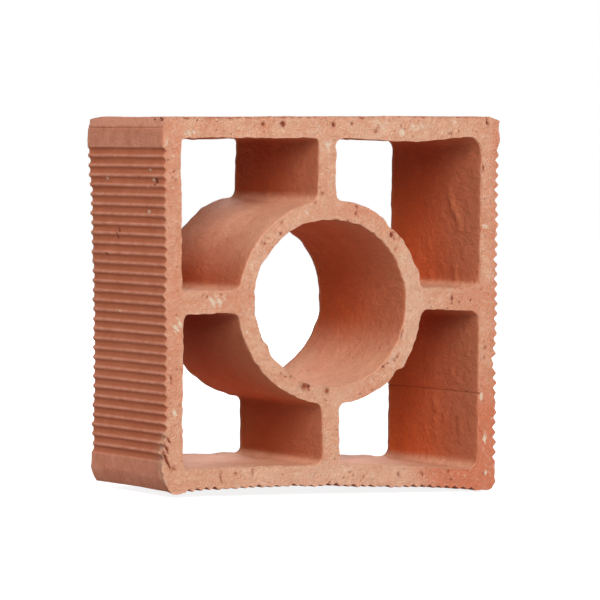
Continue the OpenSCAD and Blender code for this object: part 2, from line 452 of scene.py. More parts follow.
def cell_loop(sign_x, sign_z, near_x, near_z, low, outer, high, inner):
    """Outline of one cell: web, wall, wall and web, joined by fillets, and back along the ring.

    It is worked out as an upper right cell, with close points at the scored line, and mirrored for the rest.
    """
    far_x = WIDTH / 2 - (RIGHT_WALL if sign_x > 0 else LEFT_WALL)
    far_z = HEIGHT / 2 - (TOP_WALL if sign_z > 0 else BOTTOM_WALL)
    steep_x, level_z = near_x + inner, near_z + RING_FILLET
    steep_z = math.sqrt((RING_R + inner) ** 2 - steep_x ** 2)
    level_x = math.sqrt((RING_R + RING_FILLET) ** 2 - level_z ** 2)
    steep = math.degrees(math.atan2(steep_z, steep_x))
    level = math.degrees(math.atan2(level_z, level_x))
    score = HEIGHT / 2 - SCORE_Z
    loop = np.concatenate([
        line((level_x, near_z), (far_x - low, near_z)),
        arc((far_x - low, near_z + low), low, -90, 0),
        line((far_x, near_z + low), (far_x, score - SCORE_HALF)),
        line((far_x, score - SCORE_HALF), (far_x, score + SCORE_HALF)),
        line((far_x, score + SCORE_HALF), (far_x, far_z - outer)),
        arc((far_x - outer, far_z - outer), outer, 0, 90),
        line((far_x - outer, far_z), (near_x + high, far_z)),
        arc((near_x + high, far_z - high), high, 90, 180),
        line((near_x, far_z - high), (near_x, steep_z)),
        arc((steep_x, steep_z), inner, 180, 180 + steep),
        arc((0, 0), RING_R, steep, level),
        arc((level_x, level_z), RING_FILLET, 180 + level, 270),
    ])
    loop = loop * (sign_x, sign_z)
    return loop if sign_x * sign_z > 0 else loop[::-1]


def open_side(loop):
    """Direction from the clay into the opening at each point of a hole's loop: its tangent turned left."""
    tangent = np.roll(loop, -1, axis=0) - np.roll(loop, 1, axis=0)
    normal = np.stack([-tangent[:, 1], tangent[:, 0]], axis=1)
    return normal / np.linalg.norm(normal, axis=1, keepdims=True)


# Marks
def edge_marks(xz, from_cut, marks):
    """Sum of the edge marks: each a round bell over its radius that dies away with distance from the cut."""
    away = (xz[:, None, 0] - marks[:, 0]) ** 2 + (xz[:, None, 1] + HEIGHT / 2 - marks[:, 1]) ** 2
    bell = np.exp(-away / marks[:, 2] ** 2) * marks[:, 3]
    return np.exp(-from_cut[:, None] / marks[:, 4]) @ bell.T


def pit_depth(x, z, pits):
    """Depth of the pits at face points: each a stretched, turned bell with a wavering rim."""
    flat = np.stack([x, np.zeros(len(x)), z], axis=1)
    dx = (x + waves(flat, PIT_RIM_X_WAVES))[:, None] - pits[:, 0]
    dz = (z + waves(flat, PIT_RIM_Z_WAVES))[:, None] - pits[:, 1]
    lean = np.radians(pits[:, 5])
    across = dx * np.cos(lean) + dz * np.sin(lean)
    along = dz * np.cos(lean) - dx * np.sin(lean)
    return (pits[:, 3] * np.exp(-(across / pits[:, 2]) ** 2 - (along / pits[:, 4]) ** 2)).max(axis=1)


def pit_points(pits):
    """Close points over each pit: a small grid stretched to its half width and length, and turned with it."""
    step = np.linspace(-PIT_REACH, PIT_REACH, PIT_STEPS)
    across, along = np.meshgrid(step, step)
    lean = np.radians(pits[:, 5:6])
    across, along = across.ravel() * pits[:, 2:3], along.ravel() * pits[:, 4:5]
    x = pits[:, 0:1] + across * np.cos(lean) - along * np.sin(lean)
    z = pits[:, 1:2] + across * np.sin(lean) + along * np.cos(lean) - HEIGHT / 2
    return np.stack([x.ravel(), z.ravel()], axis=1)


def random_pits(points, spacing):
    """Small pits beside some of a face's points, as rows like those of FACE_PITS."""
    x, z = points[rng.choice(len(points), RANDOM_PITS, replace=False)].T
    size = PIT_LEAST + PIT_SPREAD * rng.power(PIT_POWER, RANDOM_PITS)
    stretch = rng.uniform(*PIT_STRETCH, RANDOM_PITS)
    lean = rng.uniform(-PIT_LEAN, PIT_LEAN, RANDOM_PITS)
    return np.stack([x + spacing / 3, z + HEIGHT / 2, size, PIT_DEPTH * size, size * stretch, lean], axis=1)


def face_relief(xz):
    """Height of the wire-cut grain over the cut plane: random fields of slow waves and two sizes of grain."""
    return waves(np.stack([xz[:, 0], np.zeros(len(xz)), xz[:, 1]], axis=1), FACE_WAVES)


def on_right_wall(xz, facing):
    """True on the right walls of the two right cells, which face left."""
    return (facing[:, 0] < -0.8) & (xz[:, 0] > WIDTH / 4)


def score_amount(xz, facing):
    """1 on the line that the die scored along the right wall of a cell, and 0 elsewhere."""
    near = np.abs(xz[:, 1] + HEIGHT / 2 - SCORE_Z) < SCORE_HALF / 2
    return 1.0 * (near & on_right_wall(xz, facing))


def drag_height(xz, facing, from_front):
    """Height that the die and handling add to a skin: edge marks at both cuts, wrinkles and a scored line.

    Each wrinkle is a bell along the block times a bell in height, on the right walls alone.
    """
    lift = edge_marks(xz, from_front, EDGE_MARKS) + edge_marks(xz, DEPTH - from_front, BACK_MARKS)
    place_y, place_z, half_width, half_height, rise = WALL_WRINKLES.T
    along = rise * np.exp(-((from_front[:, None] - place_y) / half_width) ** 2)
    upward = np.exp(-((xz[:, 1:] + HEIGHT / 2 - place_z) / half_height) ** 2)
    lift += along @ (upward * on_right_wall(xz, facing)[:, None]).T
    return lift - SCORE_DEPTH * score_amount(xz, facing)


def torn_amount(grid, facing):
    """How much torn clay lies on the skin: a flat bell along the left edge that dies away from the front."""
    middle, half, reach = TORN_EDGE
    bell = np.exp(-((grid[..., 2] + HEIGHT / 2 - middle) / half) ** 4) * (facing[:, 0] < -0.3)
    return bell * np.exp(-np.clip(grid[..., 1] + DEPTH / 2, 0, None) / reach)


def ridge_height(grid, loop, facing, depths, front_open, from_front):
    """Height of the ridged sides over their crests: half closed grooves, a line, torn clay and pits.

    The depth of a groove blends from its front depth to its depth along the block and to a softened one.
    """
    from_back = DEPTH - from_front
    ends = grid[0] * (1, 0, 1)
    front_fill = np.clip(1 - front_open + waves(ends, FRONT_FILL_WAVES), 0, MOST_FILL)
    back_fill = 1 - BACK_OPEN + waves(ends, BACK_FILL_WAVES)
    filled = front_fill * fade(from_front, FRONT_FILL_REACH) + back_fill * fade(from_back, BACK_FILL_REACH)
    at_front, at_back = fade(from_front, FRONT_DEPTH_REACH), fade(from_back, BACK_SOFT_REACH)
    along, at_cut = depths.T
    softened = along ** 2 / along.max()
    groove = along * (1 - at_front - at_back) + at_cut * at_front + softened * at_back
    lift = waves(grid, RIDGE_WAVES) - groove * (1 - np.clip(filled, 0, 1))
    z = loop[:, 1] + HEIGHT / 2
    on_left = facing[:, 0] < -0.9
    below, half, deep = BAND_LINE
    lift -= deep * np.exp(-((z - HEIGHT + TOP_LEFT_BEVEL[1] + below) / half) ** 2) * on_left
    y, up = grid[..., 1], grid[..., 2]
    slant = np.stack([(y + up) / TORN_RIPPLE[0], np.zeros_like(y), (y - up) / TORN_RIPPLE[1]], axis=-1)
    lift += torn_amount(grid, facing) * waves(slant, TORN_WAVES)
    pit_y, pit_z, radius, depth = SIDE_PITS.T
    away = (from_front[:, None, None] - pit_y) ** 2 + (z[:, None] - pit_z) ** 2
    return lift - on_left * (depth * np.exp(-away / radius ** 2)).max(axis=-1)


# Surfaces
def carried(loop, facing, from_front, depths=None, front_open=None):
    """Loop carried from the front cut to the back: (stations, points, 3) in millimetres.

    Each point moves along its facing by slow swellings, die lines, wavering cut edges, edge marks and a
    rounded arris, by a lip at the back of an opening, and on the ridged sides by the grooves.
    """
    from_back = DEPTH - from_front
    grid = np.empty((len(from_front), len(loop), 3))
    grid[..., 0] = loop[:, 0]
    grid[..., 1] = from_front[:, None] - DEPTH / 2
    grid[..., 2] = loop[:, 1]
    flat = grid[0] * (1, 0, 1)
    lift = waves(grid, SKIN_WAVES)
    lift += fade(from_front, FRONT_WAVER_REACH) * waves(flat, FRONT_EDGE_WAVES)
    lift += fade(from_back, BACK_WAVER_REACH) * waves(flat, BACK_EDGE_WAVES)
    lift += drag_height(loop, facing, from_front)
    lift -= ARRIS_ROUND * (fade(from_front, ARRIS_REACH) + fade(from_back, ARRIS_REACH))
    if depths is None:
        lift += BACK_LIP * fade(from_back, BACK_LIP_REACH) + waves(grid, HOLE_WAVES)
    else:
        lift += ridge_height(grid, loop, facing, depths, front_open, from_front)
    grid[..., 0] += lift * facing[:, 0]
    grid[..., 2] += lift * facing[:, 1]
    grid[..., 1] += face_relief(loop) * (fade(from_back, GRAIN_REACH) - fade(from_front, GRAIN_REACH))
    return grid


def fired(points):
    """Points of the straight block moved to where firing left them.

    Polynomials and smooth steps of the place give the spread top, tall right side, bowed bed, hollow and
    tapered left side, sagging roof, shifted ring and web, and skew cuts. A small turn about the line of sight
    sets the block down on its uneven bed.
    """
    x, y, z = points[..., 0], points[..., 1], points[..., 2]
    u, v = 2 * x / WIDTH, 2 * z / HEIGHT
    up = (v + 1) / 2
    front = 0.5 - y / DEPTH
    near_front = np.clip(front, 0, 1)
    near_left = np.clip(-u, 0, 1)
    near_ring = np.exp(-(np.hypot(x, z) / RING_OFFSET_REACH) ** 6)
    top_web = np.exp(-(x / TOP_WEB_REACH) ** 2) * ramp(z, *TOP_WEB_START)
    top_web *= front * TOP_WEB_SHIFT_FRONT + (1 - front) * TOP_WEB_SHIFT_BACK
    bow_half = WIDTH / 2 - BED_BAND
    bow = BED_BOW * np.clip(1 - (x / bow_half) ** 2, 0, 1) * (1 - ramp(z + HEIGHT / 2, *BED_BOW_FADE))
    hollow = (LEFT_BOW * 4 * up + LEFT_TUCK) * (1 - up) * (1 - front) * near_left ** 4
    taper = LEFT_TAPER_FOOT + (1 - LEFT_TAPER_FOOT) * ramp(up, *LEFT_TAPER_RISE)
    left = hollow + LEFT_TAPER * taper * near_front * near_left ** 8
    sag_x, sag_half = ROOF_SAG_PLACE
    sag = np.exp(-((x - sag_x) / sag_half) ** 2) * ramp(z, *ROOF_SAG_START) * (1 - ramp(z, *ROOF_SAG_END))
    sag *= ROOF_SAG * (ROOF_SAG_BACK + (1 - ROOF_SAG_BACK) * near_front)
    drop = LEFT_DROP + (RIGHT_DROP - LEFT_DROP) * (u + 1) / 2
    moved = np.empty_like(points)
    moved[..., 0] = x + TOP_SPREAD * u * v + RING_OFFSET[0] * near_ring + top_web + left
    moved[..., 1] = y + u * (front * FRONT_SKEW + (1 - front) * BACK_SKEW)
    moved[..., 2] = z + u * up * RIGHT_TALLER_ABOVE - (1 - up) * drop + bow + RING_OFFSET[1] * near_ring - sag
    across = moved[..., 0] * math.cos(YAW) - moved[..., 1] * math.sin(YAW)
    height = moved[..., 2]
    return moved + LEAN * np.stack([-height * math.cos(YAW), height * math.sin(YAW), across], axis=-1)


def stations(spacing, fine_to=FINE_FROM):
    """Distances from the front cut: close near both cuts, fine up to a distance, then at a spacing."""
    fine = np.linspace(FINE_FROM, fine_to, max(1, round((fine_to - FINE_FROM) / FINE_STEP)))
    back = DEPTH - np.array(BACK_STATIONS)
    middle = np.linspace(fine[-1], back[0], int((back[0] - fine[-1]) / spacing) + 1)
    return np.concatenate([FRONT_STATIONS, fine[:-1], middle, back[1:]])


def batches(count, width):
    """Runs of point numbers, each so short that its comparison with a width of points is a modest array."""
    return np.array_split(np.arange(count), max(1, count * width // PAIRS_AT_ONCE))


def inside(points, loops):
    """True where a point lies in the clay: an odd number of loop edges cross the line to its right."""
    odd = np.zeros(len(points), bool)
    for loop in loops:
        a, b = loop, np.roll(loop, -1, axis=0)
        rise = np.where(a[:, 1] == b[:, 1], 1.0, b[:, 1] - a[:, 1])
        for batch in batches(len(points), len(loop)):
            x, z = points[batch, 0][:, None], points[batch, 1][:, None]
            straddles = (a[:, 1] > z) != (b[:, 1] > z)
            crossing = a[:, 0] + (z - a[:, 1]) * (b[:, 0] - a[:, 0]) / rise
            odd[batch] ^= (straddles & (x < crossing)).sum(axis=1) % 2 == 1
    return odd


def clear_points(points, loops, least):
    """The points that lie in the clay, at least a distance away from the points of the loops."""
    points = points[inside(points, loops)]
    edge = np.concatenate(loops)
    clear = np.empty(len(points))
    for batch in batches(len(points), len(edge)):
        clear[batch] = np.sqrt(((points[batch, None] - edge[None]) ** 2).sum(-1).min(axis=1))
    return points[clear > least]


def face_points(loops, spacing):
    """Points over the clay of a cut face: a shaken triangular grid, kept clear of the loops."""
    half = WIDTH / 2
    rows = np.arange(-half, half, spacing * GRAIN_ROW)
    columns = np.arange(-half, half, spacing)
    x, z = np.meshgrid(columns, rows)
    x = x + spacing / 2 * (np.arange(len(rows)) % 2)[:, None]
    points = np.stack([x.ravel(), z.ravel()], axis=1)
    points += rng.uniform(-GRAIN_SHAKE, GRAIN_SHAKE, points.shape) * spacing
    return clear_points(points, loops, GRAIN_CLEAR * spacing)


def pitted_points(loops, spacing, at_front):
    """Points over a cut face and the depth of the pits there; the front has its own pits and close points."""
    points = face_points(loops, spacing)
    pits = random_pits(points, spacing)
    if at_front:
        pits = np.concatenate([FACE_PITS, pits])
        points = np.concatenate([points, clear_points(pit_points(pits), loops, PIT_CLEAR)])
    return points, pit_depth(points[:, 0], points[:, 1] + HEIGHT / 2, pits)


def face_triangles(loops, points):
    """Triangles that fill a cut face, as numbers into the points of its loops and then the inner points.

    A constrained Delaunay filling, less the triangles between edge points whose middle lies outside the clay.
    """
    counts = [len(loop) for loop in loops]
    starts = np.cumsum([0] + counts[:-1])
    edges = np.concatenate([start + np.stack([np.arange(n), np.roll(np.arange(n), -1)], axis=1)
                            for start, n in zip(starts, counts)])
    flat = np.concatenate(loops + [points])
    filled = delaunay_2d_cdt(flat.tolist(), edges.tolist(), [], 0, MERGE_DISTANCE)
    if len(filled[0]) != len(flat):
        raise ValueError("two points of a cut face fell on each other")
    triangles = np.array(filled[2])
    on_edge = (triangles < sum(counts)).all(axis=1)
    keep = np.ones(len(triangles), bool)
    keep[on_edge] = inside(flat[triangles[on_edge]].mean(axis=1), loops)
    return triangles[keep]


def wrapped_quads(numbers, outward):
    """Quads between the rows of a grid of point numbers that closes on itself; outward turns them round."""
    ahead = np.roll(numbers, -1, axis=1)
    quads = np.stack([numbers[:-1], ahead[:-1], ahead[1:], numbers[1:]], axis=-1).reshape(-1, 4)
    return quads[:, ::-1] if outward else quads


# Colour masks
def skin_masks(skin, loop, facing, painted_tones=(1.0, 1.0), worn_and_lit=None):
    """Colour masks of a carried skin; one without wear is an opening's.

    Cut clay fades from both cuts and shows on the torn edge. In an opening, dust with painted light lies on
    what faces up and painted light pales the front; painted shade, a redder and deeper colour, grows towards
    the back but less on the undersides, which are painted lighter, and a painted tone from foot to top
    lightens or darkens what faces left.
    """
    in_hole = worn_and_lit is None
    from_front = skin[..., 1] + DEPTH / 2
    from_cut = np.clip(DEPTH / 2 - np.abs(skin[..., 1]), 0, None)
    torn = 0.0 if in_hole else torn_amount(skin, facing)
    deep = ramp(from_front, *DEEP_FROM_FRONT)
    under = ramp(-facing[:, 1], 0.2, 0.9)
    mouth_light = MOUTH_PAINTED_LIGHT * np.exp(-from_front / MOUTH_PAINTED_LIGHT_REACH)
    foot, top = painted_tones
    high = ramp(loop[:, 1], loop[:, 1].min(), loop[:, 1].max())
    # painted light and shade on the walls that face left, changing from foot to top
    tint = (foot + (top - foot) * high - 1) * ramp(-facing[:, 0], 0.5, 0.95)
    masks = {
        "cut": np.maximum(np.exp(-from_cut / CUT_SMEAR), ramp(torn, *TORN_SHOWS)),
        # dust with painted top light on what faces up, and painted light near the front of an opening
        "dust_and_painted_light": np.maximum(ramp(facing[:, 1], 0.15, 0.9), mouth_light) * in_hole,
        # wear with painted light and shade on the ridged sides
        "wear_and_light": 0.0 if in_hole else worn_and_lit,
        # painted shade along the scored line
        "painted_hollow_shade": score_amount(loop, facing),
        # painted shade: a redder, deeper colour towards the back of an opening, less on its undersides
        "painted_deep_shade": deep * (1 - UNDERSIDE_LESS_DEEP_SHADE * under) * in_hole,
        "hole": 1.0 * in_hole,
        # painted light and shade: walls that face left made paler or darker deep inside, undersides lighter
        "tone": 1 + tint * deep + UNDERSIDE_PAINTED_LIGHT * under,
    }
    return {name: np.broadcast_to(values, skin.shape[:2]).ravel() for name, values in masks.items()}


def face_masks(hollow):
    """Colour masks of a cut face: cut clay all over, and painted shade in the pits by their depth."""
    masks = {"cut": 1.0, "dust_and_painted_light": 0.0, "wear_and_light": 0.0, "painted_hollow_shade": np.clip(hollow / FULL_PIT, 0, 1),
             "painted_deep_shade": 0.0, "hole": 0.0, "tone": 1.0}
    return {name: np.broadcast_to(values, hollow.shape) for name, values in masks.items()}


def patch_amount(points, patches):
    """How much of a patchy tint shows at each point near the front face: the strongest of its bells."""
    x, z = points[:, 0:1], points[:, 2:3] + HEIGHT / 2
    away = ((x - patches[:, 0]) / patches[:, 2]) ** 2 + ((z - patches[:, 1]) / patches[:, 3]) ** 2
    return (patches[:, 4] * np.exp(-away)).max(axis=1) * (points[:, 1] < PATCH_DEPTH - DEPTH / 2)


def flush_amount(points):
    """How much redder the clay is: full at the lower right corner, less along side edges and in patches."""
    x, z = points[:, 0], points[:, 2] + HEIGHT / 2
    away = np.hypot((x - FLUSH_CENTRE[0]) / FLUSH_REACH[0], (z - FLUSH_CENTRE[1]) / FLUSH_REACH[1])
    corner = 1 - ramp(away + waves(points, CORNER_FLUSH_WAVES), *FLUSH_FADE)
    right_start, right_end = (WIDTH / 2 - inset for inset in RIGHT_FLUSH_BAND)
    left_start, left_end = (WIDTH / 2 - inset for inset in LEFT_REDDENING_BAND)
    right = RIGHT_FLUSH * ramp(x + waves(points, MARGIN_FLUSH_WAVES), right_start, right_end)
    left = LEFT_REDDENING * ramp(-x, left_start, left_end) * ramp(z, *LEFT_REDDENING_RISE)
    broad = np.maximum(corner, np.maximum(right, left)) * (points[:, 1] < 0)
    return np.maximum(broad, patch_amount(points, FLUSH_PATCHES))


# The block
def make_block():
    """The whole block as one closed mesh: outline, four cells and bore carried back, and two cut faces.

    Returns its points before firing, its quads and triangles, and its colour masks.
    """
    outline, outward, depths, front_open, worn_and_lit = outer_loop()
    skins = [carried(outline, outward, stations(OUTER_STEP), depths, front_open)]
    masks = [skin_masks(skins[0], outline, outward, worn_and_lit=worn_and_lit)]
    holes = [cell_loop(*cell) for cell in CELLS] + [arc((0, 0), BORE_R, 0, 360)]
    for hole, painted_tones in zip(holes, DEEP_PAINTED_TONES):
        facing = open_side(hole)
        fine_to = WRINKLED_TO if hole[:, 0].min() > 0 else FINE_FROM
        skins.append(carried(hole, facing, stations(HOLE_STEP, fine_to)))
        masks.append(skin_masks(skins[-1], hole, facing, painted_tones))
    points = [skin.reshape(-1, 3) for skin in skins]
    starts = np.cumsum([0] + [len(part) for part in points])
    grids = [start + np.arange(len(part)).reshape(skin.shape[:2])
             for start, part, skin in zip(starts, points, skins)]
    quads = [wrapped_quads(grid, grid[0, 0] == 0) for grid in grids]
    triangles = []
    start = starts[-1]
    for side, row, spacing in ((-1, 0, FRONT_GRAIN_STEP), (1, -1, BACK_GRAIN_STEP)):
        loops = [skin[row][:, [0, 2]] for skin in skins]
        inner, hollow = pitted_points(loops, spacing, side < 0)
        numbers = np.concatenate([grid[row] for grid in grids] + [start + np.arange(len(inner))])
        triangles.append(numbers[face_triangles(loops, inner)][:, ::-side])
        y = side * (DEPTH / 2 + face_relief(inner) - hollow)
        points.append(np.stack([inner[:, 0], y, inner[:, 1]], axis=1))
        masks.append(face_masks(hollow))
        start += len(inner)
    points = np.concatenate(points)
    joined = {name: np.concatenate([part[name] for part in masks]) for name in masks[0]}
    joined["lime"] = patch_amount(points, LIME_PATCHES)
    joined["flush"] = flush_amount(points)
    joined["pale"] = patch_amount(points, PALE_AREAS)
    return points, np.concatenate(quads), np.concatenate(triangles), joined


def build_mesh(name):
    """Puts the block's arrays into a Blender mesh with its colour masks, standing on the floor.

    Returns the mesh and the height of its lowest point before it was set down.
    """
    straight, quads, triangles, masks = make_block()
    placed = fired(straight)
    drop = placed[:, 2].min()
    placed[:, 2] -= drop
    mesh = bpy.data.meshes.new(name)
    mesh.vertices.add(len(placed))
    mesh.vertices.foreach_set("co", (placed * MM).ravel().astype(np.float32))
    corners = np.concatenate([quads.ravel(), triangles.ravel()]).astype(np.int32)
    mesh.loops.add(len(corners))
    mesh.loops.foreach_set("vertex_index", corners)
    first = np.concatenate([np.arange(len(quads)) * 4, len(quads) * 4 + np.arange(len(triangles)) * 3])
    mesh.polygons.add(len(first))
    mesh.polygons.foreach_set("loop_start", first.astype(np.int32))
    mesh.polygons.foreach_set("use_smooth", np.ones(len(first), bool))
    for mask, values in masks.items():
        layer = mesh.attributes.new(mask, "FLOAT", "POINT")
        layer.data.foreach_set("value", values.astype(np.float32))
    mesh.update(calc_edges=True)
    mesh.validate()
    mesh.set_sharp_from_angle(angle=SHARP_ANGLE)
    return mesh, drop


# Materials
def linear(red, green, blue):
    """Scene-linear colour, with full alpha, of a display colour given from 0 to 255."""
    share = np.array([red, green, blue]) / 255.0
    return (*np.where(share <= 0.04045, share / 12.92, ((share + 0.055) / 1.055) ** 2.4), 1.0)


def feed(tree, socket, value):
    """Sets a socket to a number, vector or colour, or links another node's output to it."""
    if isinstance(value, bpy.types.NodeSocket):
        tree.links.new(value, socket)
    else:
        socket.default_value = value


def add(tree, kind, inputs=(), **settings):
    """New node with its properties set and each of its inputs fed with a value or an output."""
    node = tree.nodes.new(kind)
    for setting, value in settings.items():
        setattr(node, setting, value)
    for socket, value in dict(inputs).items():
        feed(tree, node.inputs[socket], value)
    return node


def worked(tree, operation, *values, clamp=False):
    """Result of one step of arithmetic on up to three values, each a number or an output."""
    return add(tree, "ShaderNodeMath", enumerate(values), operation=operation, use_clamp=clamp).outputs[0]


def times(tree, first, second):
    """Product of two values."""
    return worked(tree, "MULTIPLY", first, second)


def summed(tree, first, second):
    """Sum of two values."""
    return worked(tree, "ADD", first, second)


def between(tree, share, first, second):
    """A value that goes from the first to the second by a share."""
    return add(tree, "ShaderNodeMix", {0: share, 2: first, 3: second}, data_type="FLOAT").outputs[0]


def mixed(tree, mask, under, over):
    """Colour under with colour over laid on it by a mask."""
    return add(tree, "ShaderNodeMix", {0: mask, 6: under, 7: over}, data_type="RGBA").outputs[2]


def noise(tree, vector, scale, detail, roughness=0.5):
    """Outputs of a cloudy noise at a scale."""
    return add(tree, "ShaderNodeTexNoise", {
        "Vector": vector, "Scale": scale, "Detail": detail, "Roughness": roughness}).outputs


def new_group(name, values, output):
    """Empty shader node group with a vector input, named value inputs and one value output.

    Returns the group, its inputs' sockets and its output's socket.
    """
    group = bpy.data.node_groups.new(name, "ShaderNodeTree")
    group.interface.new_socket("Vector", in_out="INPUT", socket_type="NodeSocketVector")
    for socket, value in values.items():
        made = group.interface.new_socket(socket, in_out="INPUT", socket_type="NodeSocketFloat")
        made.default_value = value
    group.interface.new_socket(output, in_out="OUTPUT", socket_type="NodeSocketFloat")
    return group, group.nodes.new("NodeGroupInput").outputs, group.nodes.new("NodeGroupOutput").inputs[output]


def mottle_group():
    """Cloudy tone from 0 to 1: noise at a patch scale, its contrast raised about the middle."""
    group, given, tone = new_group("clay mottle", {"Patch": 60.0, "Contrast": 1.0}, "Tone")
    centred = worked(group, "SUBTRACT", noise(group, given["Vector"], given["Patch"], 5.0, 0.62)["Fac"], 0.5)
    gain = times(group, given["Contrast"], 2.2)
    feed(group, tone, worked(group, "MULTIPLY_ADD", centred, gain, 0.5, clamp=True))
    return group


def speck_group():
    """Mask of scattered specks: the middle of each shaken cell, kept only where its own number is low."""
    group, given, mask = new_group("clay specks", {"Density": 300.0, "Size": 0.25, "Share": 0.3}, "Mask")
    wobble = noise(group, given["Vector"], given["Density"], 2.0)["Color"]
    shaken = add(group, "ShaderNodeMixRGB", {"Fac": 0.0012, "Color1": given["Vector"], "Color2": wobble},
                 blend_type="LINEAR_LIGHT").outputs["Color"]
    cells = add(group, "ShaderNodeTexVoronoi", {"Vector": shaken, "Scale": given["Density"]}).outputs
    number = add(group, "ShaderNodeSeparateColor", {"Color": cells["Color"]}).outputs
    spread = add(group, "ShaderNodeMapRange", {
        "Value": cells["Distance"], "From Max": times(group, number["Green"], given["Size"]), "To Min": 1.0,
        "To Max": 0.0}, interpolation_type="SMOOTHSTEP").outputs["Result"]
    chosen = worked(group, "LESS_THAN", number["Red"], given["Share"])
    feed(group, mask, times(group, spread, chosen))
    return group


def grain_group():
    """Fine grain height from 0 to 1: two noises, the coarser one weighted by an input."""
    group, given, height = new_group("clay grain", {"Scale": 700.0, "Coarse": 0.5}, "Height")
    fine = noise(group, given["Vector"], given["Scale"], 4.0, 0.65)["Fac"]
    coarse = noise(group, given["Vector"], times(group, given["Scale"], 0.3), 2.0)["Fac"]
    feed(group, height, between(group, given["Coarse"], fine, coarse))
    return group


GROUPS = {"mottle": mottle_group(), "specks": speck_group(), "grain": grain_group()}


def place(tree, group, vector, **values):
    """Output of one of the shared groups in a material, fed with a vector and its own values."""
    return add(tree, "ShaderNodeGroup", {"Vector": vector, **values}, node_tree=GROUPS[group]).outputs[0]


def mottle(tree, vector, patch, contrast):
    """Cloudy tone at a patch scale and contrast."""
    return place(tree, "mottle", vector, Patch=patch, Contrast=contrast)


def layered(tree, colour, *layers):
    """A colour with others laid over it in turn, each by its mask times a strength."""
    for mask, strength, tint in layers:
        colour = mixed(tree, times(tree, mask, strength), colour, linear(*tint))
    return colour


def stretched(tree, vector, factors, turn=0.0):
    """Coordinates turned about y, then scaled on each axis; small factors draw a pattern out."""
    turned = add(tree, "ShaderNodeMapping", {"Vector": vector, "Rotation": (0.0, turn, 0.0)})
    return add(tree, "ShaderNodeMapping", {"Vector": turned.outputs[0], "Scale": factors}).outputs[0]


def attribute(tree, name):
    """One of the block's own colour masks."""
    return add(tree, "ShaderNodeAttribute", attribute_name=name).outputs["Fac"]


def left_spots(tree, at, spots):
    """Mask of spots drawn out along the left side: 1 near the middle of each, fading to 0 at its radius."""
    across = add(tree, "ShaderNodeSeparateXYZ", {0: at}).outputs["X"]
    on_side = worked(tree, "LESS_THAN", across, SPOT_SIDE_X * MM)
    flat = stretched(tree, at, (0.0, SPOT_SHORTEN, 1.0))
    mask = 0.0
    for from_front, z, radius in spots:
        middle = (0.0, SPOT_SHORTEN * (from_front - DEPTH / 2) * MM, z * MM)
        away = add(tree, "ShaderNodeVectorMath", {0: flat, 1: middle}, operation="DISTANCE").outputs["Value"]
        spot = add(tree, "ShaderNodeMapRange", {
            "Value": away, "From Min": SPOT_CORE * radius * MM, "From Max": radius * MM, "To Min": 1.0,
            "To Max": 0.0}, interpolation_type="SMOOTHSTEP").outputs["Result"]
        mask = summed(tree, spot, mask)
    return times(tree, mask, on_side)


def cut_look(tree, at):
    """Colour and height of the wire-cut faces: pale, grainy clay with red pores, lime grains and patches, and
    painted shade in the pits.
    """
    drag = mottle(tree, stretched(tree, at, (0.3, 1.0, 1.0)), 480.0, 1.8)
    speckle = mottle(tree, at, 900.0, 2.2)
    pores = place(tree, "specks", at, Density=360.0, Size=0.46, Share=0.16)
    lime = place(tree, "specks", at, Density=300.0, Size=0.42, Share=0.1)
    crumbs = mottle(tree, stretched(tree, at, (1.0, 1.0, 0.45), 0.7), 520.0, 2.0)
    crumbled_lime = summed(tree, worked(tree, "MULTIPLY_ADD", crumbs, 0.9, -0.76), attribute(tree, "lime"))
    clay = mixed(tree, mottle(tree, at, 60.0, 1.2), linear(220, 146, 110), linear(239, 186, 156))
    colour = layered(
        tree, clay,
        (mottle(tree, at, 200.0, 2.0), 0.5, (220, 134, 96)),
        (drag, 0.32, (245, 198, 168)),
        (attribute(tree, "pale"), 0.8, (244, 198, 170)),
        (speckle, 0.32, (246, 203, 174)),
        (mottle(tree, at, 560.0, 2.4), 0.14, (198, 110, 74)),
        (attribute(tree, "flush"), 0.75, (218, 116, 80)),
        (pores, 0.7, (156, 70, 42)),
        (lime, 0.6, (243, 216, 192)),
        (crumbled_lime, 1.8, (242, 215, 188)),
        # painted shade in the pits, darker with their depth
        (attribute(tree, "painted_hollow_shade"), 1.0, (146, 60, 34)),
    )
    grain = place(tree, "grain", at, Scale=900.0, Coarse=0.55)
    height = summed(tree, grain, times(tree, pores, -0.9))
    return colour, summed(tree, height, times(tree, speckle, 0.5))


